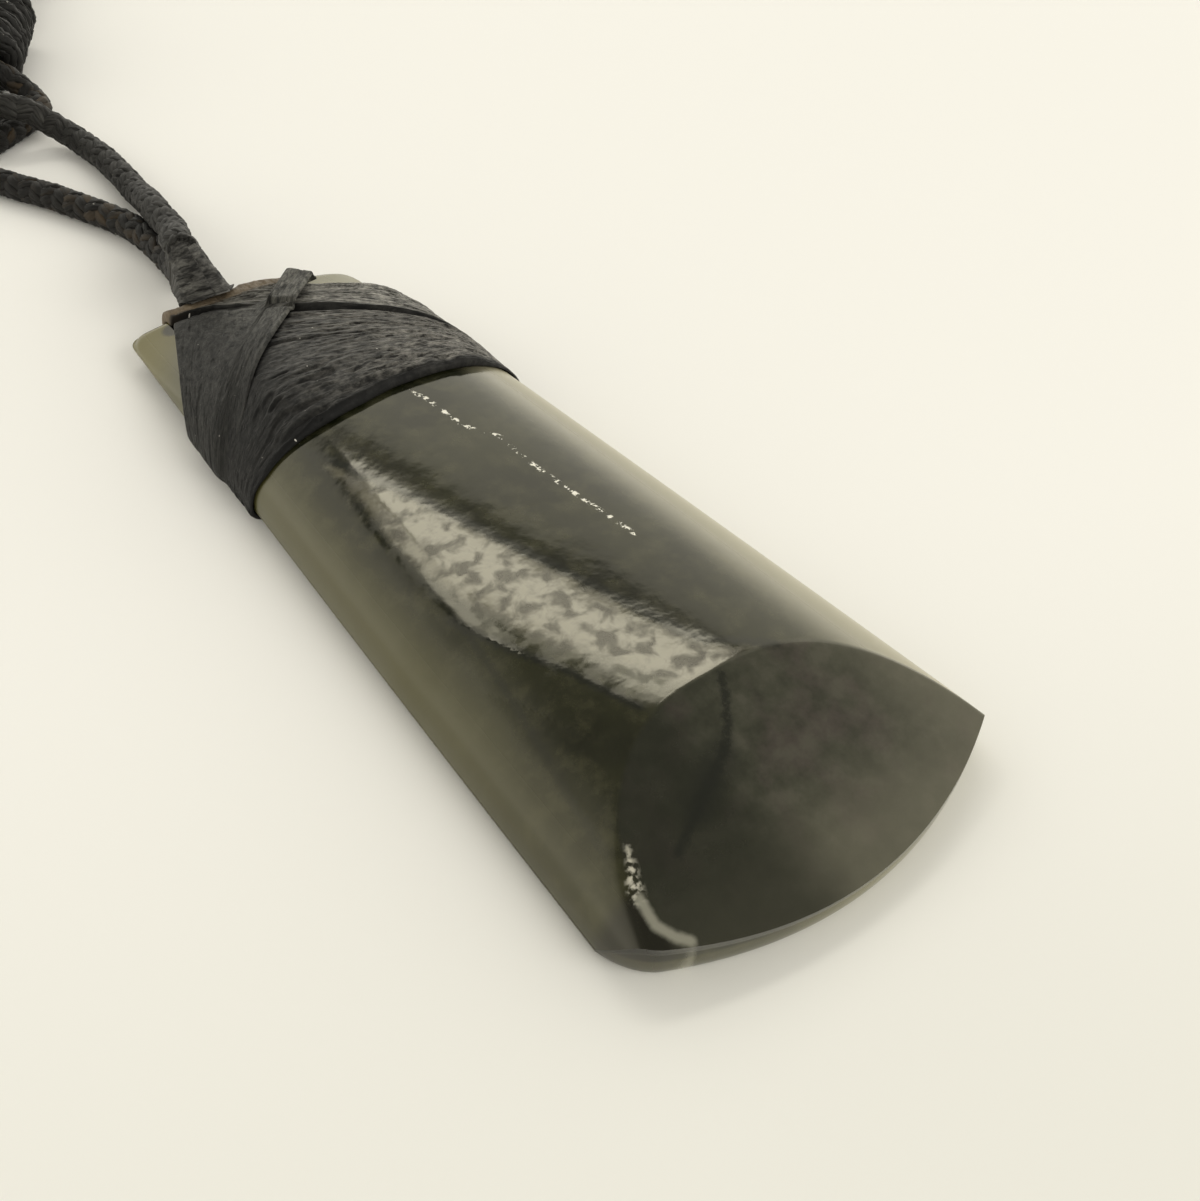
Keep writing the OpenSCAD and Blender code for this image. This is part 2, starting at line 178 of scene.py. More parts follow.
def wave(t, seed, octaves=3):
    """Smooth seeded noise in one variable, from about -1 to 1."""
    t = np.asarray(t, float)
    total = np.zeros_like(t)
    for k in range(octaves):
        phase = 12.9898 * (seed + 1) + 4.1414 * k
        total += np.sin(t * (1.0 + 0.83 * k) * (1.7 ** k) + phase) * 0.6 ** k
    return total / 1.6


# Mesh helpers

def grid_quads(rows, columns, wrap_rows=False, wrap_columns=False, start=0):
    """Quads over a grid of points that are stored row by row."""
    i = np.arange(rows if wrap_rows else rows - 1)
    j = np.arange(columns if wrap_columns else columns - 1)
    i, j = np.meshgrid(i, j, indexing="ij")
    below, right = (i + 1) % rows, (j + 1) % columns
    quads = np.stack([i * columns + j, i * columns + right, below * columns + right,
                      below * columns + j], axis=-1)
    return quads.reshape(-1, 4) + start


def add_mesh(name, points, faces, material, values):
    """A smooth-shaded piece of the pendant from points in millimetres."""
    mesh = bpy.data.meshes.new(name)
    mesh.from_pydata((np.asarray(points) * MM).tolist(), [], [list(map(int, f)) for f in faces])
    for key, data in values.items():
        data = np.asarray(data, dtype=np.float32)
        kind, field = ("FLOAT_VECTOR", "vector") if data.ndim == 2 else ("FLOAT", "value")
        mesh.attributes.new(key, kind, "POINT").data.foreach_set(field, data.ravel())
    mesh.validate()
    mesh.polygons.foreach_set("use_smooth", [True] * len(mesh.polygons))
    mesh.materials.append(material)
    return add_object(name, mesh)


def add_object(name, data):
    made = bpy.data.objects.new(name, data)
    bpy.context.scene.collection.objects.link(made)
    return made


def laid(points):
    """From the stone's own frame to the row frame."""
    points = np.asarray(points, float)
    c, s = math.cos(REST_ANGLE), math.sin(REST_ANGLE)
    x, y, z = points[..., 0], points[..., 1], points[..., 2]
    return np.stack([x, y * c - z * s - ORIGIN_Y, y * s + z * c], axis=-1)


# Node helpers

class Nodes:
    """A node tree, with short calls for the nodes that the room and the materials share."""

    def __init__(self, tree):
        self.tree = tree

    def node(self, kind, **settings):
        made = self.tree.nodes.new(kind)
        for key, value in settings.items():
            setattr(made, key, value)
        return made

    def put(self, socket, value):
        """Links a socket to another, or sets its value."""
        if isinstance(value, bpy.types.NodeSocket):
            self.tree.links.new(value, socket)
        elif isinstance(value, (tuple, list)) and len(value) == 3 and socket.type == "RGBA":
            socket.default_value = (*value, 1.0)
        else:
            socket.default_value = value

    def fill(self, node, **inputs):
        """Links or sets a node's inputs, with an underscore for each space in a name."""
        for key, value in inputs.items():
            self.put(node.inputs[key.replace("_", " ")], value)
        return node.outputs

    def attribute(self, name, vector=False):
        node = self.node("ShaderNodeAttribute", attribute_name=name)
        return node.outputs["Vector" if vector else "Fac"]

    def math(self, operation, *values):
        node = self.node("ShaderNodeMath", operation=operation)
        for socket, value in zip(node.inputs, values):
            self.put(socket, value)
        return node.outputs[0]

    def times(self, a, b):
        return self.math("MULTIPLY", a, b)

    def plus(self, a, b):
        return self.math("ADD", a, b)

    def minus(self, a, b):
        return self.math("SUBTRACT", a, b)

    def larger(self, a, b):
        return self.math("MAXIMUM", a, b)

    def split(self, vector):
        node = self.node("ShaderNodeSeparateXYZ")
        self.put(node.inputs[0], vector)
        return tuple(node.outputs)

    def stretched(self, vector, scale, offset=(0.0, 0.0, 0.0)):
        return self.fill(self.node("ShaderNodeMapping"), Vector=vector, Scale=scale, Location=offset)[0]

    def noise(self, vector, scale, detail=3.0, rough=0.5, distortion=0.0):
        return self.fill(self.node("ShaderNodeTexNoise"), Vector=vector, Scale=scale, Detail=detail,
                         Roughness=rough, Distortion=distortion)["Fac"]

    def grain(self, vector, stretch, scale=1.0, detail=3.0, rough=0.5):
        """Noise that is finer along the axes with a larger stretch."""
        return self.noise(self.stretched(vector, stretch), scale, detail, rough)

    def smooth(self, value, low, high, out_low=0.0, out_high=1.0):
        """A smooth step from out_low at low to out_high at high."""
        return self.fill(self.node("ShaderNodeMapRange", interpolation_type="SMOOTHSTEP"), Value=value,
                         From_Min=low, From_Max=high, To_Min=out_low, To_Max=out_high)["Result"]

    def colour(self, share, a, b):
        node = self.node("ShaderNodeMix", data_type="RGBA")
        self.put(node.inputs["Factor"], share)
        self.put(node.inputs[6], a)
        self.put(node.inputs[7], b)
        return node.outputs[2]

    def layers(self, tone, layers):
        """Lays colours over tone, one after the other. Each layer is its share and its colour."""
        for share, colour in layers:
            tone = self.colour(share, tone, colour)
        return tone

    def bump(self, height, distance, strength=1.0):
        """A bump as deep as distance, in millimetres, where height rises by 1."""
        return self.fill(self.node("ShaderNodeBump"), Height=height, Distance=distance * MM,
                         Strength=strength)["Normal"]


class Shader(Nodes):
    """A new material."""

    def __init__(self, name):
        self.material = bpy.data.materials.new(name)
        self.material.use_nodes = True
        super().__init__(self.material.node_tree)
        self.surface = self.tree.nodes["Principled BSDF"]

    def finish(self, **inputs):
        self.fill(self.surface, **inputs)
        return self.material


# Camera, light and floor

def add_camera():
    forward = Vector(CAMERA_FORWARD).normalized()
    right = forward.cross(Vector(CAMERA_UP)).normalized()
    up = right.cross(forward)
    data = bpy.data.cameras.new("camera")
    data.sensor_fit = "HORIZONTAL"
    data.sensor_width = SENSOR_MM
    data.lens = LENS_MM
    data.clip_start, data.clip_end = CAMERA_CLIP
    camera = add_object("camera", data)
    turn = Matrix((right, up, -forward)).transposed().to_4x4()
    camera.matrix_world = Matrix.Translation(Vector(CAMERA_AT) * MM) @ turn
    bpy.context.scene.camera = camera


def add_softbox(name, azimuth, elevation, distance, width, height, radiance, tint):
    """A rectangular light that faces the pendant. Azimuth 0 is towards +Y and 90 towards +X."""
    data = bpy.data.lights.new(name, "AREA")
    data.shape = "RECTANGLE"
    data.size = width
    data.size_y = height
    data.energy = radiance * pi * width * height
    data.color = tint
    light = add_object(name, data)
    a, e = math.radians(azimuth), math.radians(elevation)
    direction = Vector((math.sin(a) * math.cos(e), math.cos(a) * math.cos(e), math.sin(e)))
    light.location = direction * distance
    light.rotation_mode = "QUATERNION"
    light.rotation_quaternion = (-direction).to_track_quat("-Z", "Y")


# The room's brightness by the sine of the height above the horizon, and how much brighter it is
# towards the window's side than away from it
ROOM_TONES = ((0.0, 1.5), (0.22, 1.2), (0.45, 1.0), (0.62, 0.95), (0.74, 0.55), (0.86, 0.22))
ROOM_STRENGTH = 1.15
ROOM_SIDE = (0.87, 0.5, 0.0)
ROOM_CONTRAST = 0.12
ROOM_TINT = (1.0, 0.97, 0.87)
# The window's dark sill and its left jamb: azimuth in radians from and to, height from and to
WINDOW_FRAME = ((-0.33, 0.98, 0.672, 0.700), (-0.345, -0.285, 0.672, 0.815))
FRAME_DARK = 0.85
# Soft lights: name, azimuth, elevation, distance, width, height, radiance, tint
LIGHTS = (("key_light", 26.5, 50.6, 2.35, 1.50, 0.345, 4.6, (1.0, 0.97, 0.88)),
          ("key_light_left", -8.5, 50.6, 2.35, 0.36, 0.345, 3.0, (1.0, 0.97, 0.88)),
          ("fill_light", 158.0, 34.0, 2.2, 1.3, 0.8, 3.9, (1.0, 0.98, 0.92)))
FLOOR_REACH = 2.0


def add_world():
    """A warm white room that is darker overhead and behind the camera."""
    world = bpy.data.worlds.new("studio")
    world.use_nodes = True
    nodes = Nodes(world.node_tree)
    where = nodes.node("ShaderNodeTexCoord").outputs["Generated"]
    x, y, height = nodes.split(where)
    ramp = nodes.node("ShaderNodeValToRGB")
    nodes.put(ramp.inputs[0], height)
    ramp.color_ramp.interpolation = "EASE"
    while len(ramp.color_ramp.elements) < len(ROOM_TONES):
        ramp.color_ramp.elements.new(0.5)
    for element, (position, tone) in zip(ramp.color_ramp.elements, ROOM_TONES):
        element.position = position
        element.color = (*(tone * part for part in ROOM_TINT), 1.0)

    def within(value, low, high):
        return nodes.math("COMPARE", value, (low + high) / 2, (high - low) / 2)
    azimuth = nodes.math("ARCTAN2", x, y)
    bars = [nodes.times(within(azimuth, left, right), within(height, low, high))
            for left, right, low, high in WINDOW_FRAME]
    lit = nodes.minus(1.0, nodes.times(nodes.larger(*bars), FRAME_DARK))
    side = nodes.node("ShaderNodeVectorMath", operation="DOT_PRODUCT")
    nodes.put(side.inputs[0], where)
    nodes.put(side.inputs[1], ROOM_SIDE)
    strength = nodes.math("MULTIPLY_ADD", side.outputs["Value"], ROOM_STRENGTH * ROOM_CONTRAST, ROOM_STRENGTH)
    back = world.node_tree.nodes["Background"]
    nodes.put(back.inputs[0], ramp.outputs[0])
    nodes.put(back.inputs[1], nodes.times(strength, lit))
    bpy.context.scene.world = world


def paper_material():
    """Warm white paper, with painted shade that makes it a little darker towards the camera."""
    look = Shader("pale_surface")
    where = look.node("ShaderNodeTexCoord").outputs["Object"]
    x, y, _ = look.split(where)
    # Painted shade: darker towards the camera
    near = look.smooth(look.plus(y, look.times(x, 0.45)), -0.055, 0.0, 0.85, 0.0)
    far_tone = look.colour(look.noise(where, 3.0, detail=4.0), (0.925, 0.915, 0.885), (0.94, 0.93, 0.905))
    tone = look.colour(near, far_tone, (0.82, 0.815, 0.77))
    grain = look.noise(where, 900.0, detail=2.0)
    return look.finish(Base_Color=tone, Roughness=0.85, Normal=look.bump(grain, 0.02, 0.3))


def add_floor():
    r = FLOOR_REACH
    mesh = bpy.data.meshes.new("floor")
    mesh.from_pydata([(-r, -r, 0), (r, -r, 0), (r, r, 0), (-r, r, 0)], [], [(0, 1, 2, 3)])
    mesh.materials.append(paper_material())
    add_object("floor", mesh)


# Cords

def unit(v):
    v = np.asarray(v, float)
    return v / np.linalg.norm(v, axis=-1, keepdims=True)


def turns(count):
    """Angles once round a circle."""
    return 2 * pi * np.arange(count) / count


def length_along(path):
    return np.concatenate([[0.0], np.cumsum(np.linalg.norm(np.diff(path, axis=0), axis=1))])


def smooth_route(route, spacing):
    """Evenly spaced points on a smooth curve through the route's points, in millimetres."""
    p = np.asarray(route, float)
    p = np.vstack([2 * p[0] - p[1], p, 2 * p[-1] - p[-2]])
    steps = 24
    fine = []
    for i in range(1, len(p) - 2):
        a, b, c, d = p[i - 1:i + 3]
        gaps = [math.sqrt(np.linalg.norm(q - r)) for q, r in ((a, b), (b, c), (c, d))]
        k0, k1, k2, k3 = np.cumsum([0.0] + gaps)
        t = np.linspace(k1, k2, steps, endpoint=False)[:, None]
        bc = mix(b, c, (t - k1) / (k2 - k1))
        abc = mix(mix(a, b, (t - k0) / (k1 - k0)), bc, (t - k0) / (k2 - k0))
        bcd = mix(bc, mix(c, d, (t - k2) / (k3 - k2)), (t - k1) / (k3 - k1))
        fine.append(mix(abc, bcd, (t - k1) / (k2 - k1)))
    fine = np.vstack(fine + [p[-2][None, :]])
    along = length_along(fine)
    count = int(round(along[-1] / spacing)) + 1
    at = np.linspace(0.0, along[-1], count)
    return np.stack([np.interp(at, along, fine[:, k]) for k in range(3)], axis=-1), at


def frames_along(path):
    """Two side directions at each point, carried along the path without twisting."""
    ahead = unit(np.gradient(path, axis=0))
    side = np.empty_like(ahead)
    first = np.cross(ahead[0], (0.0, 0.0, 1.0))
    side[0] = unit(first if np.linalg.norm(first) > 0.1 else np.cross(ahead[0], (1.0, 0.0, 0.0)))
    for i in range(1, len(path)):
        side[i] = unit(side[i - 1] - ahead[i] * np.dot(side[i - 1], ahead[i]))
    return side, np.cross(ahead, side)


def tube_rings(path, side, over, width, height, sides):
    """Rings of an oval tube. width lies along side and height along over."""
    turn = turns(sides)[None, :, None]
    w, h = (np.full(len(path), size)[:, None, None] for size in (width, height))
    return (path[:, None] + side[:, None] * np.cos(turn) * w / 2
            + over[:, None] * np.sin(turn) * h / 2)


def tube_faces(rings, sides, start=0):
    """The skin of a tube and its two end caps."""
    quads = grid_quads(rings, sides, wrap_columns=True, start=start)
    first = list(range(start, start + sides))
    last = [start + (rings - 1) * sides + j for j in range(sides)]
    return quads.tolist() + [first[::-1], last]


STRANDS_EACH_WAY = 8
BRAID_PITCH = 9.0
STRAND_SIDES = 6


def braid(path, seed):
    """Points, faces and values of a round braid, over two and under two, along a path."""
    along = length_along(path)
    side, over = frames_along(path)
    turn = 2 * pi * along / BRAID_PITCH
    lift = 0.06 * CORD_D
    strand_w = 0.36 * CORD_D
    strand_h = 0.17 * CORD_D
    middle_r = CORD_D / 2 - strand_h / 2 - lift
    level = turn * STRANDS_EACH_WAY / pi
    points, faces, run = [], [], []
    count = 0
    for way in (1, -1):
        for j in range(STRANDS_EACH_WAY):
            wander = wave(along * 0.35, seed + 31 * j + 7 * way) * 0.05
            angle = way * turn + 2 * pi * (j + 0.25 * (1 - way)) / STRANDS_EACH_WAY + wander
            float_up = way * np.cos(pi / 2 * (level - 0.5))
            uneven = wave(along * 0.6, seed + 17 * j + 3 * way) * 0.012 * CORD_D
            radius = middle_r + lift * float_up + uneven
            out = side * np.cos(angle)[:, None] + over * np.sin(angle)[:, None]
            line = path + out * radius[:, None]
            ahead = unit(np.gradient(line, axis=0))
            across = np.cross(ahead, out)
            width = strand_w * (1 + 0.12 * wave(along * 0.8, seed + 5 * j + way))
            rings = tube_rings(line, unit(across), out, width, strand_h, STRAND_SIDES)
            points.append(rings.reshape(-1, 3))
            faces += tube_faces(len(path), STRAND_SIDES, count)
            across_at = np.tile(np.cos(turns(STRAND_SIDES)), len(path))
            strand_id = j + STRANDS_EACH_WAY * (way < 0) + 40 * seed
            run.append(np.stack([across_at * strand_w / 2 + 3.0 * strand_id,
                                 np.repeat(along, STRAND_SIDES), np.full(len(across_at), strand_id)],
                                axis=-1))
            count += len(path) * STRAND_SIDES
    core_sides = 8
    core = tube_rings(path, side, over, 2 * middle_r, 2 * middle_r, core_sides)
    points.append(core.reshape(-1, 3))
    faces += tube_faces(len(path), core_sides, count)
    run.append(np.zeros((len(path) * core_sides, 3)))
    return np.vstack(points), faces, {"run": np.vstack(run)}


def cord_material(name, light, brown):
    """Black braided cord. light is the colour of its paler strands, set per cord as painted light, and brown
    is how much brown shows.
    """
    look = Shader(name)
    run = look.attribute("run", vector=True)
    fibres = look.grain(run, (7.0, 0.55, 1.0), detail=5.0, rough=0.65)
    patches = look.grain(run, (0.35, 0.25, 0.4), detail=2.0)
    worn_and_lit = look.grain(run, (0.5, 0.16, 0.7))
    dust = look.grain(run, (2.2, 2.4, 1.0), detail=1.0)
    shade = look.times(look.smooth(fibres, 0.3, 0.75), look.smooth(patches, 0.25, 0.75, 0.5, 1.0))
    tone = look.layers(look.colour(shade, (0.006, 0.0055, 0.005), light), (
        (look.times(look.smooth(worn_and_lit, 0.52, 0.66), brown), (0.16, 0.105, 0.05)),
        (look.smooth(dust, 0.775, 0.80), (0.45, 0.44, 0.40))))
    rough = look.smooth(fibres, 0.2, 0.8, 0.62, 0.4)
    return look.finish(Base_Color=tone, Roughness=rough, Specular_IOR_Level=0.16, Sheen_Weight=0.02,
                       Sheen_Roughness=0.4, Normal=look.bump(fibres, 0.06, 0.9))


CORD_SPACING = 0.5


def add_braid(name, path, seed, material):
    """A braid along the path, flattened where it would dip under the floor."""
    points, faces, values = braid(path, seed)
    points[:, 2] = np.maximum(points[:, 2], 0.0)
    return add_mesh(name, points, faces, material, values)


def add_cord(node, route, seed, material):
    """A braided cord that replaces its plain tube."""
    path, along = smooth_route(route, CORD_SPACING)
    inside = path[0] - unit(path[1] - path[0]) * CORD_SPACING * np.arange(2, 0, -1)[:, None]
    piece = add_braid(node + "_braid", np.vstack([inside, path]), seed, material)
    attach(piece, BODY)
    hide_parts(node)


def knot_path(ends, wraps, spacing):
    """The centreline of cord wound side by side round a long slot."""
    start, end = np.asarray(ends[0], float), np.asarray(ends[1], float)
    ahead = unit(end - start)
    side = np.array([ahead[1], -ahead[0]])
    length = np.linalg.norm(end - start)
    first, last = CORD_D / 2, length - CORD_D / 2
    straight = (KNOT_W - KNOT_H) / 2
    radius = (KNOT_H - CORD_D) / 2
    half_round = 2 * straight + pi * radius
    s = np.linspace(0.0, wraps, int(wraps * 2 * half_round / spacing))
    t = (s % 1.0) * 2 * half_round
    way = np.where(t < half_round, 1, -1)
    t = t % half_round
    a = np.maximum(t - 2 * straight, 0.0) / radius
    x = way * (np.minimum(t, 2 * straight) - straight + radius * np.sin(a))
    z = way * radius * np.cos(a)
    reach = first + (last - first) * s / wraps
    flat = start + ahead * reach[:, None] + side * x[:, None]
    return np.column_stack([flat, KNOT_Z + z])


def add_knot(node, ends, seed, material):
    wraps = round(math.dist(*ends) / CORD_D) - 1
    piece = add_braid(node + "_wraps", knot_path(ends, wraps, CORD_SPACING), seed, material)
    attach(piece, BODY)
    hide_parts(node)
    return piece


# The stone's outline and height, in its own frame

def round_in(q, r):
    q = np.maximum(q, 0.0)
    return np.where(q < r, r - np.sqrt(np.maximum(r * r - np.square(r - np.minimum(q, r)), 0.0)), 0.0)


def half_w(y):
    k = y / STONE_L
    return mix(BLADE_W, POLL_W, k) / 2 + SIDE_BOW * 4 * k * (1 - k)


def start_y(u):
    return EDGE_BOW * u * u + round_in((1 - np.abs(u)) * BLADE_W / 2,
                                       np.where(u < 0, LEFT_CORNER_R, RIGHT_CORNER_R))


def end_y(x):
    return STONE_L - POLL_SKEW * x - round_in(POLL_W / 2 - np.abs(x), POLL_CORNER_R)


def towards_poll(y):
    return ease((y - FALL_Y) / (STONE_L - FALL_Y))


def dome(u, y):
    fall = POLL_TILT * u * half_w(y) - DOME_H + DOME_FALL + POLL_H
    return DOME_H - DOME_FALL * y / FALL_Y + fall * towards_poll(y)


def front_z(u, y, grow=0.0):
    power = mix(DOME_POWER, POLL_POWER, towards_poll(y))
    fall = 1 - np.minimum(np.abs(u), 1.0) ** power
    return SIDE_H + (dome(u, y) + grow - SIDE_H) * np.sqrt(np.maximum(fall, 0.0))


def surface_z(x, y, grow=0.0):
    return front_z(x / (half_w(y) + grow), y, grow) - round_in(end_y(x) + grow - y, POLL_EDGE_R + grow)


def bevel_z(y):
    return EDGE_H + BEVEL_TAN * y


def arch_y(u):
    """Where the bevel's plane meets the domed front, by steps from a first guess."""
    y = np.full_like(u, ARCH_GUESS_Y)
    for _ in range(ARCH_STEPS):
        y = mix(y, (front_z(u, y) - EDGE_H) / BEVEL_TAN, 0.7)
    return np.maximum(start_y(u) + ARCH_LEAST, y)


def soft_min(a, b, width):
    return (a + b - np.sqrt(np.square(a - b) + width * width)) / 2


def line_distance(x, y, line):
    """Distance from each point to an open line of x, y points."""
    best = np.full(x.shape, 1e9)
    for (ax, ay), (bx, by) in zip(line[:-1], line[1:]):
        dx, dy = bx - ax, by - ay
        t = np.clip(((x - ax) * dx + (y - ay) * dy) / (dx * dx + dy * dy), 0.0, 1.0)
        best = np.minimum(best, np.hypot(x - ax - t * dx, y - ay - t * dy))
    return best


def inside_line(x, y, ring):
    """True inside a closed ring of x, y points."""
    inside = np.zeros(x.shape, bool)
    for (ax, ay), (bx, by) in zip(ring, ring[1:] + ring[:1]):
        crosses = (ay > y) != (by > y)
        at = ax + (bx - ax) * (y - ay) / np.where(by == ay, 1e-9, by - ay)
        inside ^= crosses & (x < at)
    return inside


# Markings in the stone, as x, y in its own frame
CLOUD_RIGHT_EDGE = [(-5.9, 35.2), (-5.7, 34.4), (-3.9, 28.5), (-2.4, 23.0), (-0.9, 18.1), (0.1, 14.5),
                    (0.85, 12.2), (3.5, 10.0)]
CLOUD_LEFT_EDGE = [(-1.3, 9.6), (-2.9, 12.9), (-4.6, 15.9), (-6.0, 20.4), (-6.5, 24.5), (-6.35, 29.6)]
MIDDLE_VEIN = [(-6.9, 20.5), (-6.3, 18.2), (-5.7, 16.4), (-5.0, 14.7), (-4.5, 13.0), (-3.8, 10.7)]
MARKS = {
    "cloud_edge": CLOUD_RIGHT_EDGE,
    "side_vein": [(-6.1, 36.2), (-6.2, 30.7), (-6.5, 25.0), (-6.7, 19.9), (-7.4, 15.3), (-8.9, 6.9)],
    "middle_vein": MIDDLE_VEIN,
    "bevel_vein": [(0.2, 10), (-0.2, 9.3), (-1.2, 7.9), (-2.2, 7.15), (-3.4, 6.5), (-5.2, 5.6), (-6.5, 4.9)],
    "bevel_streak": [(-2.0, 7.2), (-3.4, 6.6), (-4.6, 5.9)],
    # The dotted line and the glint are painted highlights
    "highlight_dots": [(0.5, 36.5), (1.05, 35.1), (1.2, 33.3), (1.3, 31.8), (1.9, 30.5), (2.4, 29.9), (2.35, 27.1),
             (2.6, 24.4), (2.9, 22.2), (3.2, 19.4)],
    "glint": [(-8.1, 6.2), (-8.4, 5.6), (-8.75, 5.0), (-8.95, 4.4)],
    "strip": [(-8.95, 4.3), (-9.05, 3.2), (-8.65, 2.45), (-8.2, 2.0)],
    "speck": [(-8.8, 1.8), (-8.75, 1.75)],
    # Along the crescent the stone is painted black as the shadow in the gap
    "crescent": CRESCENT,
}
# Dark veins: name, half width and how dark
VEINS = (("cloud_edge", 0.5, 0.95), ("side_vein", 0.3, 0.5), ("middle_vein", 0.4, 0.9),
         ("bevel_vein", 0.36, 0.85), ("bevel_streak", 1.1, 0.75))
VEIN_TONE = (0.006, 0.0075, 0.006)
# The polished face leans away on the left of the middle vein, as wide as this. It fades out towards
# the cutting edge and the poll.
FACET_W = 2.4
FACET_LEAN = 4.5
FACET_LOW = (1.0, 11.0)
FACET_HIGH = (22.0, 18.0)
STONE_ROUGH = (0.085, 0.30)


def stone_mesh():
    """The front as a fine grid, rounded walls below its rim, and a flat back."""
    across = 176
    bevel_rows = 64
    body_rows = 190
    u = np.sin(pi * np.arange(across + 1) / across - pi / 2)
    low, arch, high = start_y(u), arch_y(u), end_y(u * POLL_W / 2)
    bevel_share = (1 - np.cos(pi * np.arange(bevel_rows) / bevel_rows)) / 2
    k = np.arange(body_rows + 1) / body_rows
    body_share = mix(k, (1 - np.cos(pi * k)) / 2, 0.38)
    y = np.vstack([mix(low, arch, bevel_share[:, None]), mix(arch, high, body_share[:, None])])
    x = u * half_w(y)
    left_end = step_between(-6.5, -9.0, x) * step_between(7.5, 4.5, y)
    z = soft_min(surface_z(x, y), bevel_z(y), mix(CREASE, WORN_CREASE, left_end))
    z = np.maximum(z, SIDE_H * 0.9)
    rows, columns = y.shape

    index = np.arange(rows * columns).reshape(rows, columns)
    rim = np.concatenate([index[0, :], index[1:-1, -1], index[-1, ::-1], index[-2:0:-1, 0]])
    points = np.stack([x, y, z], axis=-1).reshape(-1, 3)
    edge = points[rim]
    foot = np.column_stack([edge[:, 0] * BACK_SHARE[0], mix(ORIGIN_Y, edge[:, 1], BACK_SHARE[1]),
                            np.zeros(len(rim))])
    wall_steps = 8
    a = np.arange(1, wall_steps + 1)[:, None, None] / wall_steps * pi / 2
    towards_foot = np.concatenate([1 - np.cos(a), 1 - np.cos(a), np.sin(a)], axis=2)
    start = len(points)
    count = len(rim)
    quads = grid_quads(rows, columns)[:, ::-1]
    loops = np.vstack([rim] + [start + i * count + np.arange(count) for i in range(wall_steps)])
    a, b = loops[:-1], np.roll(loops[:-1], -1, axis=1)
    c, d = np.roll(loops[1:], -1, axis=1), loops[1:]
    wall_quads = np.stack([a, b, c, d], axis=-1).reshape(-1, 4)[:, ::-1]
    points = np.vstack([points, mix(edge, foot, towards_foot).reshape(-1, 3)])
    return points, quads.tolist() + wall_quads.tolist() + [loops[-1].tolist()]


def stone_values(points):
    """Distances to the stone's markings, for its material."""
    x, y, z = points.T
    cloud_ring = CLOUD_RIGHT_EDGE + CLOUD_LEFT_EDGE
    depth = line_distance(x, y, cloud_ring + cloud_ring[:1])
    vein = np.array(MIDDLE_VEIN[::-1])
    beside = np.clip(np.interp(y, vein[:, 1], vein[:, 0]) - x, 0.0, FACET_W)
    values = {name: line_distance(x, y, line) for name, line in MARKS.items()}
    values["stone"] = points
    values["across"] = x / half_w(y)
    values["cloud"] = np.where(inside_line(x, y, cloud_ring), depth, -depth)
    values["bevel"] = step_between(0.12, 0.02, np.abs(z - bevel_z(y))) * step_between(13.0, 12.0, y)
    values["facet"] = beside * step_between(*FACET_HIGH, y) * step_between(*FACET_LOW, y)
    return values


def stone_fields(look):
    """Where a point of the stone is, and the noises that its layers share."""
    stone = look.attribute("stone", vector=True)
    x, y, z = look.split(stone)
    bevel = look.attribute("bevel")
    return SimpleNamespace(
        stone=stone, x=x, y=y, z=z, across=look.attribute("across"),
        bevel=bevel, off_bevel=look.minus(1.0, bevel),
        broad=look.noise(stone, 0.16, rough=0.55),
        mottle=look.noise(stone, 0.75, detail=5.0, rough=0.6),
        fine=look.noise(stone, 3.2, detail=4.0, rough=0.6),
        blotch=look.noise(stone, 1.0, distortion=0.3))


def ground_tone(look, at):
    """The dark green of the stone's domed front, sides and back."""
    tone = look.colour(look.smooth(at.broad, 0.35, 0.68), (0.005, 0.006, 0.0022), (0.016, 0.017, 0.0065))
    return look.colour(look.smooth(at.mottle, 0.42, 0.72, 0.0, 0.75), tone, (0.040, 0.039, 0.020))


def bevel_tone(look, at):
    """The ground bevel: dark on its left, and paler at the cutting edge and on the right, where the paleness
    is painted light: light through the thin edge and a painted reflection on the right.
    """
    purple = look.noise(look.stretched(at.stone, (1, 1, 1), (7.0, 3.0, 0.0)), 0.42, detail=4.0)
    tone = look.colour(look.smooth(purple, 0.47, 0.7), (0.036, 0.037, 0.026), (0.044, 0.037, 0.032))
    # Painted light: paler at the thin cutting edge, and a painted reflection on the right
    thin = look.larger(look.smooth(at.y, 5.5, 1.0, 0.0, 0.5), look.smooth(at.x, 4.0, 10.5, 0.0, 0.6))
    rightward = look.plus(at.x, look.times(at.broad, 5.0))
    return look.layers(tone, (
        (look.smooth(at.mottle, 0.46, 0.70, 0.0, 0.7), (0.066, 0.063, 0.048)),
        (look.smooth(at.mottle, 0.50, 0.34, 0.0, 0.6), (0.018, 0.019, 0.013)),
        (thin, (0.14, 0.133, 0.098)),
        (look.smooth(rightward, -1.5, 2.6, 0.75, 0.0), (0.007, 0.0085, 0.005))))


def cloud_and_reflection_share(look, at):
    """Where the pale cloud shows, partly a painted reflection of the key light, with a ragged edge."""
    ragged = look.minus(look.noise(at.stone, 0.9, detail=5.0, rough=0.7), 0.5)
    depth = look.plus(look.attribute("cloud"), look.times(ragged, 1.9))
    return look.times(look.smooth(depth, -0.25, 0.7), at.off_bevel)


def vein_layers(look, at):
    wobble = look.times(look.minus(at.fine, 0.5), 0.5)
    layers = []
    for name, width, depth in VEINS:
        near = look.plus(look.attribute(name), wobble)
        layers.append((look.smooth(near, 0.02, width, depth, 0.0), VEIN_TONE))
    return layers


def flank_light_layers(look, at):
    """Painted light on the sides: light showing through the thin left side, and a painted reflection of the
    pale floor on the right side.
    """
    left = look.times(look.smooth(at.across, -0.72, -1.0), at.off_bevel)
    left = look.times(left, look.smooth(at.y, 2.0, 22.0, 0.25, 0.95))
    right = look.times(look.smooth(at.across, 0.42, 0.97), at.off_bevel)
    return [(left, (0.066, 0.061, 0.020)), (look.times(right, 0.95), (0.42, 0.39, 0.27))]


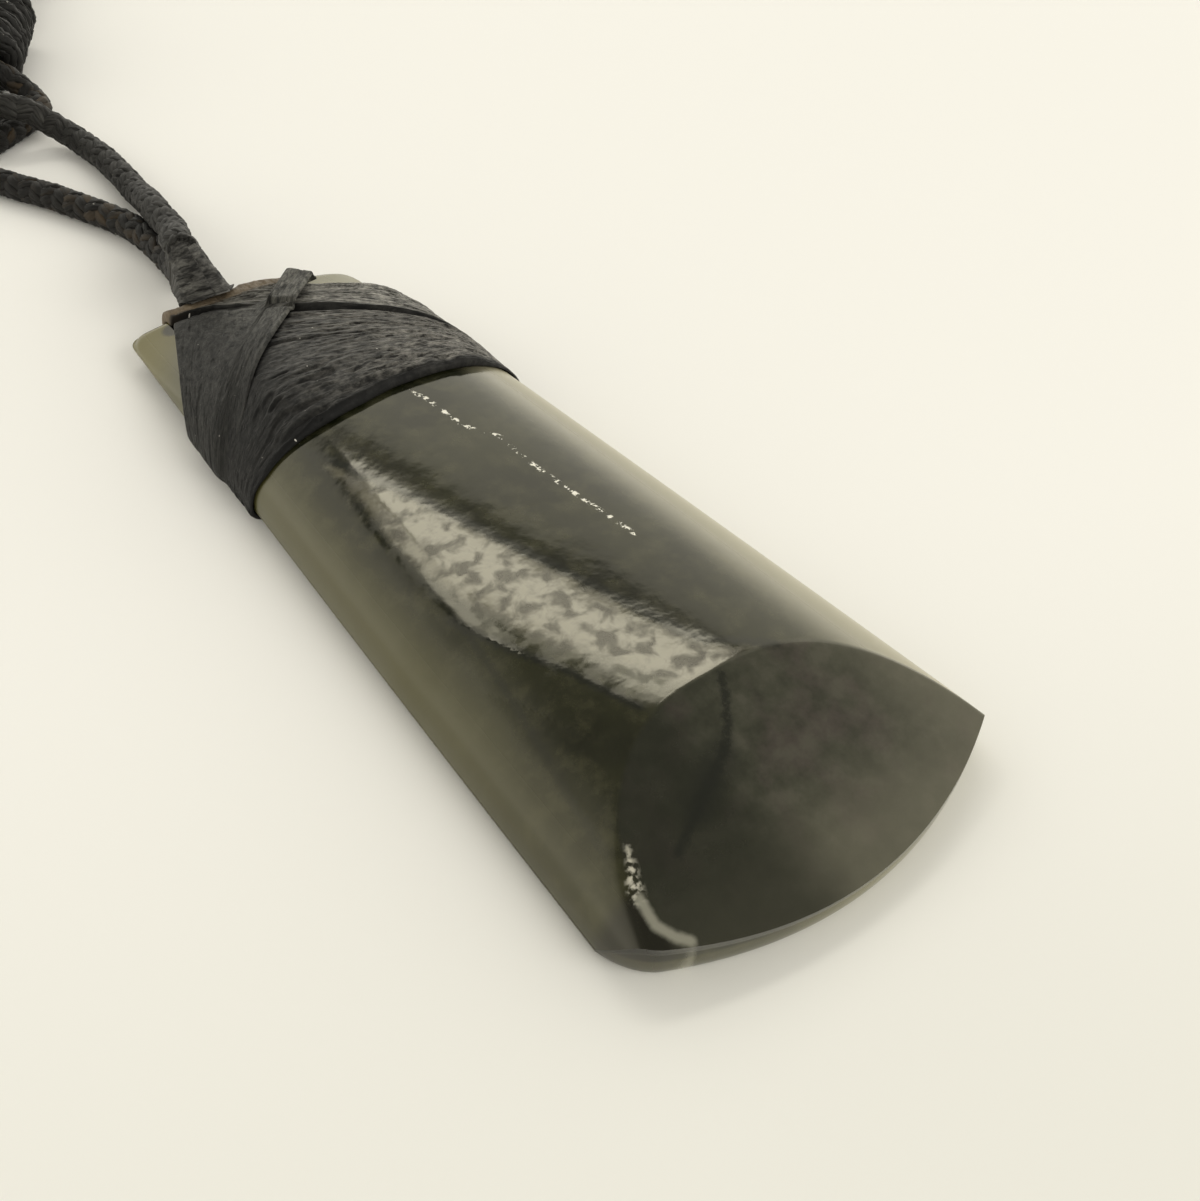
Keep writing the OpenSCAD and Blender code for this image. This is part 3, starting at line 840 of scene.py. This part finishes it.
def mark_layers(look, at):
    """The left corner's dark mark, a painted speckled glint with a pale strip and speck beside it, and the
    dotted line of painted highlights.
    """
    corner = look.times(look.smooth(at.x, -8.7, -9.2), look.smooth(at.y, 5.2, 4.2))
    # Painted highlights: a speckled glint at the left corner and a dotted line of tiny glints
    glint_at = look.plus(look.attribute("glint"), look.smooth(at.y, 4.6, 6.4, 0.0, 0.25))
    glint = look.times(look.smooth(glint_at, 0.5, 0.08),
                       look.smooth(look.noise(at.stone, 4.0, detail=4.0), 0.42, 0.62))
    strip_at = look.plus(look.attribute("strip"), look.times(at.fine, 0.12))
    highlight_dots = look.times(look.smooth(look.attribute("highlight_dots"), 0.20, 0.08),
                      look.smooth(look.noise(at.stone, 2.6, rough=0.65), 0.55, 0.6))
    return [(look.times(corner, 0.95), (0.004, 0.004, 0.002)),
            (glint, (0.50, 0.48, 0.40)),
            (look.smooth(strip_at, 0.12, 0.42, 0.9, 0.0), (0.24, 0.235, 0.19)),
            (look.smooth(look.attribute("speck"), 0.22, 0.1), (0.5, 0.47, 0.37)),
            (highlight_dots, (0.85, 0.83, 0.74))]


def end_light_layers(look, at):
    """Painted light at the ends: a pale rim at the cutting edge and pale ears at the poll as light showing
    through the thin stone, and painted shadow in the gap under the crescent.
    """
    rim = look.times(look.smooth(at.z, 1.42, 1.15), look.smooth(at.y, 5.0, 2.2))
    rim = look.times(rim, look.smooth(at.x, -5.5, 1.0, 0.25, 0.9))
    ear_tone = look.colour(look.smooth(at.x, -3.0, 3.0), (0.115, 0.10, 0.026), (0.13, 0.12, 0.058))
    return [(rim, (0.15, 0.138, 0.065)),
            (look.smooth(at.y, 48.0, 53.5), ear_tone),
            (look.smooth(look.attribute("crescent"), 0.9, 0.5), (0.003, 0.003, 0.003))]


def stone_roughness(look, at, cloud):
    """Glossy, and duller on both flanks and in the cloud."""
    left_of_cloud = look.times(look.smooth(look.attribute("cloud"), -2.6, -0.8),
                               look.smooth(look.attribute("cloud_edge"), 1.2, 2.6))
    dull = look.times(look.smooth(at.blotch, 0.60, 0.36, 0.0, 0.7), look.larger(cloud, left_of_cloud))
    flanks = look.larger(look.smooth(at.across, -0.72, -0.95), look.smooth(at.across, 0.45, 0.8))
    dull = look.times(look.larger(dull, flanks), at.off_bevel)
    return look.smooth(dull, 0.0, 1.0, *STONE_ROUGH)


def stone_relief(look, at):
    """Slight waves in the polish, flatter on the bevel, and the facet by the middle vein."""
    waves = look.plus(look.times(look.noise(at.stone, 1.3, detail=2.0, rough=0.45), 0.30),
                      look.times(look.noise(at.stone, 0.4, detail=1.0), 0.45))
    waves = look.times(waves, look.minus(1.0, look.times(at.bevel, 0.75)))
    return look.plus(waves, look.times(look.attribute("facet"), FACET_LEAN))


def nephrite_material():
    """Dark green stone with a glossy polish, a pale cloud that is partly painted reflection, dark veins, and
    thin translucent corners, ears and sides whose paleness is painted light.
    """
    look = Shader("polished_greenstone")
    at = stone_fields(look)
    cloud = cloud_and_reflection_share(look, at)
    # The cloud's pale colour, partly a painted reflection of the key light
    pale = look.colour(look.smooth(at.blotch, 0.34, 0.62), (0.022, 0.019, 0.012), (0.105, 0.098, 0.070))
    tone = look.colour(at.bevel, ground_tone(look, at), bevel_tone(look, at))
    tone = look.layers(tone, [(cloud, pale)] + vein_layers(look, at) + flank_light_layers(look, at)
                       + mark_layers(look, at) + end_light_layers(look, at))
    return look.finish(Base_Color=tone, Roughness=stone_roughness(look, at, cloud), IOR=1.61,
                       Specular_Tint=(1.0, 0.96, 0.80, 1.0), Subsurface_Weight=0.06,
                       Subsurface_Scale=1.2 * MM, Subsurface_Radius=(0.9, 1.0, 0.6),
                       Normal=look.bump(stone_relief(look, at), 0.021))


def add_stone():
    points, faces = stone_mesh()
    piece = add_mesh("toki_blade_stone", laid(points), faces, nephrite_material(), stone_values(points))
    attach(piece, BODY)
    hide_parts("toki_blade")


# Binding: each band is a closed skin, and its outer face rises in uneven threads

def lattice(u, v, seed):
    """Seeded noise from 0 to 1 over a grid of unit cells."""
    iu, iv = np.floor(u), np.floor(v)
    fu, fv = ease(u - iu), ease(v - iv)

    def corner(a, b):
        return np.mod(np.sin(a * 127.1 + b * 311.7 + seed * 74.7) * 43758.5453, 1.0)
    low = mix(corner(iu, iv), corner(iu + 1, iv), fu)
    high = mix(corner(iu, iv + 1), corner(iu + 1, iv + 1), fu)
    return mix(low, high, fv)


def line_y(x, line):
    table = np.array(line, float)
    return np.interp(x, table[:, 0], table[:, 1])


def front_top_y(x):
    climb = LEFT_TOP_Y + (x + half_w(LEFT_TOP_Y)) * LEFT_EDGE_SLOPE
    return np.minimum(line_y(x, CRESCENT) - CRESCENT_GAP / 2, climb)


def front_t(u, y):
    """The front band is thin over the stone's sides, and it tucks down under the top band along the
    crescent. On the right it fills out towards the top band."""
    filled = np.where(u > 0, step_between(*FILL_Y, y), 0.0)
    thin = step_between(*SIDE_THIN_U, np.abs(u)) * (1 - filled)
    below = line_y(u * half_w(y), CRESCENT) - y
    tuck = ease(1 - below / TUCK_REACH) * step_between(*TUCK_END_U, u)
    return BAND_T * (1 - SIDE_THIN * thin) * (1 - TUCK_THIN * tuck)


SIDE_BEND = 0.12


def wrap_section(turn, y, grow):
    """A point round the stone's section. turn runs from -1 at the left side over the front to 1 at
    the right side, and on round the back to 3."""
    w = half_w(y)
    front = turn <= 1
    u = np.sin(np.clip(turn, -1, 1) * pi / 2)
    x_front, z_front = u * (w + grow), surface_z(u * (w + grow), y, grow)
    t = np.clip(turn - 1, 0.0, 2.0)
    a_right = np.clip(t / SIDE_BEND, 0, 1) * pi / 2
    a_left = np.clip((2 - t) / SIDE_BEND, 0, 1) * pi / 2
    flat = w - SIDE_H
    x_back = np.clip(mix(flat, -flat, (t - SIDE_BEND) / (2 - 2 * SIDE_BEND)), -flat, flat)
    x_back = x_back + np.where(t < 1, np.cos(a_right), -np.cos(a_left)) * (SIDE_H + grow)
    z_back = SIDE_H - np.where(t < 1, np.sin(a_right), np.sin(a_left)) * (SIDE_H + grow)
    return np.where(front, x_front, x_back), np.where(front, z_front, z_back)


def thread_relief(across, along, seed, depth):
    """How much of its thickness a band keeps. across counts threads and along is in millimetres."""
    bent = across + 0.5 * wave(along * 0.30 + across * 0.4, seed)
    ridge = np.abs(np.sin(pi * bent))
    strand = lattice(bent * 1.1, along * 0.85, seed)
    fibre = lattice(bent * 2.3, along * 2.4, seed + 9)
    dash = step_between(0.60, 0.84, lattice(bent * 1.2, along * 0.75, seed + 4))
    level = 0.07 * ridge + 0.38 * strand + 0.28 * fibre + 0.6 * (1 - dash)
    return 1 - depth * (1.25 - level)


INNER_ROWS = 3


def band_mesh(place, rows, columns, threads, seed, wrap, along_mm, depth, edge_share=0.03):
    """A band as a closed skin. place(across, along, lift) gives points, and lift runs from 0 at the
    inner face to 1 at the outer face."""
    across = np.linspace(0, 1, rows)
    along = np.linspace(0, 1, columns, endpoint=not wrap)
    a, s = np.meshgrid(across, along, indexing="ij")
    round_off = np.sqrt(np.clip(np.minimum(a, 1 - a) / edge_share, 0.0, 1.0))
    lift = np.minimum(thread_relief(a * threads, s * along_mm, seed, depth), round_off * 0.95 + 0.05)
    outer = place(a, s, lift)
    ai, si = np.meshgrid(np.linspace(1, 0, INNER_ROWS), along, indexing="ij")
    inner = place(ai, si, np.zeros_like(ai))
    points = np.concatenate([outer, inner], axis=0)
    n, m = points.shape[:2]
    faces = grid_quads(n, m, wrap_rows=True, wrap_columns=wrap).tolist()
    if not wrap:
        first = np.arange(n) * m
        faces += [first.tolist(), (first + m - 1)[::-1].tolist()]
    where = np.stack([np.concatenate([a, ai]), np.concatenate([s, si]), np.ones((n, m))], axis=-1)
    where = where.reshape(-1, 3)
    return points.reshape(-1, 3), faces, {"run": where * (threads, along_mm, seed), "place": where}


# The ribbon's right edge, as x and y, with the shadow that it throws on the front band
RIBBON_EDGE = ((4.2, 53), (1.6, 50.7), (-0.4, 48.7), (-2, 46.7), (-4, 44.5), (-5.5, 42.8), (-6.7, 41.5))
SHADOW_W = 0.5


def seam_shade(points, lines):
    """Painted shadow: near 1 within SHADOW_W of any of the lines, and 0 away from them."""
    x, y = points[:, 0], points[:, 1]
    ragged = 0.12 * wave(x * 2.3 + y * 1.7, 8)
    near = np.minimum.reduce([line_distance(x, y, line) - extra for line, extra in lines])
    return step_between(SHADOW_W + 0.15, SHADOW_W - 0.2, near + ragged)


def thread_material(name, dark, shaded_left, lit_right, tan_from=2.0, tan_to=3.0):
    """Flat waxed thread with dark dashes along its run, and painted black shadow along its shadow lines. Its
    tone goes from shaded_left to lit_right across the binding as painted light, and brown fibre shows where
    the place along the band passes tan_from."""
    look = Shader(name)
    run = look.attribute("run", vector=True)
    _, along, _ = look.split(look.attribute("place", vector=True))
    streak = look.grain(run, (1.2, 1.7, 1.7), detail=6.0, rough=0.72)
    dash = look.grain(run, (1.3, 1.0, 1.0), rough=0.55)
    fibre = look.grain(run, (3.6, 4.6, 1.0), detail=4.0, rough=0.65)
    wear = look.grain(run, (0.3, 0.35, 0.2))
    frayed = look.grain(run, (3.0, 2.2, 1.0), detail=2.0)
    dust = look.grain(run, (1.0, 2.6, 1.0), 1.6, detail=1.0)
    share = look.times(look.smooth(streak, 0.34, 0.7), look.smooth(wear, 0.3, 0.7, 0.55, 1.0))
    share = look.times(share, look.smooth(fibre, 0.25, 0.7, 0.45, 1.0))
    # Painted light: darker on the shaded left of the binding and paler on its lit right
    lit = look.colour(look.smooth(look.attribute("worn_and_lit"), -0.8, 0.9), shaded_left, lit_right)
    tan = look.smooth(look.plus(along, look.times(frayed, 0.05)), tan_from, tan_to, 0.0, 0.85)
    tone = look.layers(look.colour(share, dark, lit), (
        (look.smooth(dash, 0.58, 0.68, 0.0, 0.85), (0.004, 0.004, 0.0035)),
        (tan, look.colour(fibre, (0.05, 0.033, 0.018), (0.26, 0.20, 0.13))),
        # Painted shadow along the crescent, the low edge and beside the ribbon
        (look.times(look.attribute("painted_shadow"), 0.92), (0.0025, 0.0025, 0.0025)),
        (look.smooth(dust, 0.795, 0.81), (0.5, 0.48, 0.44))))
    rough = look.smooth(streak, 0.25, 0.75, 0.66, 0.46)
    height = look.plus(look.times(streak, 0.6), look.times(fibre, 0.4))
    height = look.minus(height, look.smooth(dash, 0.58, 0.7, 0.0, 0.6))
    return look.finish(Base_Color=tone, Roughness=rough, Specular_IOR_Level=0.17, Sheen_Weight=0.02,
                       Sheen_Roughness=0.35, Normal=look.bump(height, 0.07, 0.9))


def add_binding(name, node, points, faces, values, material, shadow_lines=(), shadowed=1.0):
    """shadow_lines are the lines that have a painted black shadow beside them, each with how much wider it
    is, and shadowed is how much of that painted shadow each point takes."""
    values["painted_shadow"] = seam_shade(points, shadow_lines) * shadowed if shadow_lines else np.zeros(len(points))
    # Where each point lies from left to right, for the painted light across the threads
    values["worn_and_lit"] = points[:, 0] / half_w(points[:, 1])
    piece = add_mesh(name, laid(points), faces, material, values)
    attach(piece, BODY)
    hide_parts(node)


def add_front_band(material):
    def place(across, along, lift):
        turn = along * 4 - 1
        u = np.sin(np.clip(turn, -1, 1) * pi / 2)
        left_x, right_x = -half_w(LEFT_TOP_Y), TOP_SIDE_X[0]
        back = np.clip((turn - 1) / 2, 0, 1)
        bend = np.clip(np.minimum(turn - 1, 3 - turn) / SIDE_BEND, 0, 1)
        front_top = front_top_y(np.abs(u) * np.where(u < 0, left_x, right_x))
        top = np.where(turn <= 1, front_top, mix(front_top_y(right_x), front_top_y(left_x), back))
        side_low = line_y(np.where(back < 0.5, 1.0, -1.0) * half_w(BAND_LOW_Y), LOW_EDGE)
        low = np.where(turn <= 1, line_y(u * half_w(BAND_LOW_Y), LOW_EDGE), mix(side_low, BAND_LOW_Y, bend))
        y = mix(low, top, across)
        side = np.where(turn <= 1, u, np.where(back < 0.5, 1.0, -1.0))
        thick = mix(front_t(side, y), BAND_T, bend)
        x, z = wrap_section(turn, y, GAP + lift * thick)
        return np.stack([x, y, z], axis=-1)
    made = band_mesh(place, rows=230, columns=420, threads=32, seed=3, wrap=True, along_mm=46.0, depth=0.42)
    add_binding("front_band_threads", "lashing_front_band", *made, material,
                ((CRESCENT, 0.1), (LOW_EDGE, 0.05), (RIBBON_EDGE, -0.25)))


def top_y(k, a):
    low = line_y(mix(TOP_SIDE_X[0], TOP_END_X[0], a), CRESCENT) + CRESCENT_GAP / 2
    return mix(low, line_y(mix(TOP_SIDE_X[1], TOP_END_X[1], a), TOP_EDGE), k)


def add_top_band(material):
    front_share = 0.56
    bend_share = 0.05

    def place(across, along, lift):
        s = (1 - np.cos(pi * np.clip(along / front_share, 0, 1))) / 2
        under = np.clip((along - front_share) / (1 - front_share), 0, 1)
        s = np.where(along <= front_share, s, 1 - under)
        a = np.minimum(s / OVER_FRONT, 1)
        over = np.maximum(s - OVER_FRONT, 0) / (1 - OVER_FRONT)
        down = np.minimum(ease((along - front_share) / bend_share), ease((1 - along) / bend_share))
        thick = mix(line_y(across, TOP_SIDE_T), line_y(across, TOP_END_T), a)
        grow = GAP + lift * mix(thick, BAND_T, down)
        x = mix(half_w(top_y(across, 0.0)) + grow, mix(TOP_END_X[0], TOP_END_X[1], across), a)
        y = mix(top_y(across, a), end_y(x) + grow, np.sin(over * pi / 2))
        z = mix(surface_z(x, y, grow), -grow, np.where(along <= front_share, 0.0, down))
        return np.stack([x, y, z], axis=-1)
    made = band_mesh(place, rows=130, columns=460, threads=19, seed=11, wrap=True, along_mm=34.0, depth=0.36)
    add_binding("top_band_threads", "lashing_top_band", *made, material, ((CRESCENT, 0.0),))


def cross_grow(x, y):
    on_front = 2 * GAP + front_t(np.clip(x / (half_w(y) + GAP + BAND_T), -1, 1), y)
    on_top = mix(on_front, OVER_TOP, ease(y - line_y(x, CRESCENT) + 0.5))
    return mix(OVER_POLL, on_top, ease(np.minimum(end_y(x) - y - 0.1, line_y(x, TOP_EDGE) + RIBBON_DROP - y)))


def add_cross_band(material):
    at, *columns = np.array(CROSS_THREADS, float).T
    down_share = 0.1
    down_reach = 0.8

    def place(across, along, lift):
        start_x, start, side = (np.interp(across, at, column) for column in columns)
        s = np.clip(along / (1 - down_share), 0, 1)
        down = np.clip((along - 1 + down_share) / down_share, 0, 1) * down_reach
        tuck = step_between(0.55, 0.85, across) * step_between(0.5, 0.8, along)
        thick = CROSS_T * (1 - CROSS_SIDE_THIN * down) * (1 - CROSS_TUCK_THIN * tuck)
        extra = lift * thick - CROSS_TUCK * tuck
        reach = cross_grow(-half_w(side), side) + extra
        x = mix(start_x, -half_w(side) - reach, s)
        y = mix(start, side, s)
        z = surface_z(x, y, cross_grow(x, y) + extra)
        return np.stack([x, y, mix(z, -GAP - extra, down)], axis=-1)
    made = band_mesh(place, rows=170, columns=240, threads=22, seed=5, wrap=False, along_mm=16.0, depth=0.35,
                     edge_share=0.015)
    add_binding("cross_band_threads", "lashing_cross_band", *made, material, ((CRESCENT[:5], -0.1),),
                shadowed=made[2]["place"][:, 0] < RIBBON_FROM)


def add_collar(material):
    table = np.array(COLLAR_ROWS, float)
    rows, sides, winds, crossing, seed = 110, 120, 13, 1.2, 21
    blur_rows = 22
    blur = np.hanning(blur_rows + 1) / np.hanning(blur_rows + 1).sum()
    steps = np.linspace(-0.12, 1.12, rows + blur_rows)
    shape = [np.convolve(np.interp(steps, np.linspace(0, 1, len(table)), column), blur, "valid")
             for column in table.T]
    turn = turns(sides)[None, :]
    share = np.linspace(0, 1, rows)[:, None]
    middle_x, middle_y, middle_z, width, height, lean = (column[:, None] for column in shape)
    phase = share * winds + turn / (2 * pi) + crossing * np.cos(turn)
    keep = thread_relief(phase, turn * 2.0 + 0 * share, seed, depth=0.10)
    px = (np.sign(np.cos(turn)) * (height - width) / 2 + width / 2 * np.cos(turn)) * keep
    py = width / 2 * np.sin(turn) * keep
    x = middle_x - py
    y = middle_y - px * np.sin(np.radians(lean))
    z = np.maximum(middle_z + px * np.cos(np.radians(lean)), surface_z(x, y, COLLAR_GROW))
    points = np.stack([x, y, z], axis=-1).reshape(-1, 3)
    run = np.stack([phase, turn * 0.7 + 0 * share, np.full_like(phase, seed)], axis=-1).reshape(-1, 3)
    values = {"run": run, "place": np.full_like(run, 0.5)}
    add_binding("collar_threads", "neck_collar", points, tube_faces(rows, sides), values, material)


bpy.context.scene.view_settings.view_transform = "Standard"
add_camera()

# One cord material in painted-light copies: paler for the lit right cord, darker for the shaded left cord and
# the knots
shaded_left_cord = cord_material("braided_cord_left_shaded", light=(0.015, 0.014, 0.012), brown=0.2)
lit_right_cord = cord_material("braided_cord_right_lit", light=(0.045, 0.0435, 0.039), brown=0.0)
shaded_knot_cord = cord_material("braided_cord_knots_shaded", light=(0.006, 0.006, 0.005), brown=0.0)
near_knot = add_knot("slide_knot_near", NEAR_KNOT, 5, shaded_knot_cord)
far_knot = add_knot("slide_knot_far", FAR_KNOT, 6, shaded_knot_cord)
add_cord("neck_cord_left", LEFT_ROUTE, 1, shaded_left_cord)
add_cord("neck_cord_right", RIGHT_ROUTE, 2, lit_right_cord)

add_world()
for light in LIGHTS:
    add_softbox(*light)
add_floor()

add_stone()
# Copies of one waxed thread whose tones are set for the light on each band, as painted light; the top band's
# paler tones stand in for its backlit sheen
band_thread = thread_material("waxed_thread", dark=(0.004, 0.004, 0.0038), shaded_left=(0.017, 0.016, 0.0145),
                              lit_right=(0.42, 0.40, 0.36))
cross_thread = thread_material("waxed_thread_cross", dark=(0.006, 0.006, 0.0055),
                               shaded_left=(0.034, 0.033, 0.029), lit_right=(0.30, 0.29, 0.25))
top_thread = thread_material("waxed_thread_top", dark=(0.012, 0.0115, 0.010), shaded_left=(0.16, 0.153, 0.134),
                             lit_right=(0.54, 0.52, 0.47), tan_from=0.40, tan_to=0.45)
collar_thread = thread_material("waxed_thread_collar", dark=(0.010, 0.0095, 0.009),
                                shaded_left=(0.17, 0.165, 0.15), lit_right=(0.17, 0.165, 0.15))
add_front_band(band_thread)
add_top_band(top_thread)
add_cross_band(cross_thread)
add_collar(collar_thread)
